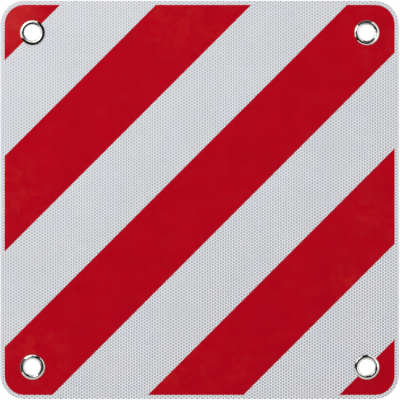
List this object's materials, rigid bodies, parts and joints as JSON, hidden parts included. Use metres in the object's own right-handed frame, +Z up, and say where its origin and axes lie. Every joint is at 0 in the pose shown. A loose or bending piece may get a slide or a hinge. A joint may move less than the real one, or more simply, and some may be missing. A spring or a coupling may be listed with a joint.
{
  "type": "overhanging load sign",
  "caption": "Square warning panel for overhanging loads: aluminium plate with white honeycomb reflective sheeting, diagonal red stripes, rounded corners and plated corner eyelets.",
  "frame": {"origin": "middle of the four eyelets, on the back face of the aluminium plate", "axes": "+X to the right seen from the front, +Y to the rear through the plate, +Z up"},
  "size_m": [0.5, 0.0063, 0.5],
  "materials": {
    "plate_aluminium": "satin",
    "adhesive": "satin",
    "white_bead_sheet": "satin",
    "clear_film": "gloss",
    "red_overlay": "gloss",
    "plated_metal": "polished"
  },
  "bodies": {
    "root": {"back_plate": "plate_aluminium", "film_adhesive": "adhesive", "bead_sheet": "white_bead_sheet", "cover_film": "clear_film", "red_corner_top_left": "red_overlay", "red_stripe_upper_left": "red_overlay", "red_stripe_centre": "red_overlay", "red_stripe_lower_right": "red_overlay", "red_corner_bottom_right": "red_overlay", "eyelet_top_left": "plated_metal", "eyelet_top_right": "plated_metal", "eyelet_bottom_left": "plated_metal", "eyelet_bottom_right": "plated_metal", "washer_top_left": "plated_metal", "washer_top_right": "plated_metal", "washer_bottom_left": "plated_metal", "washer_bottom_right": "plated_metal"}
  },
  "joints": []
}
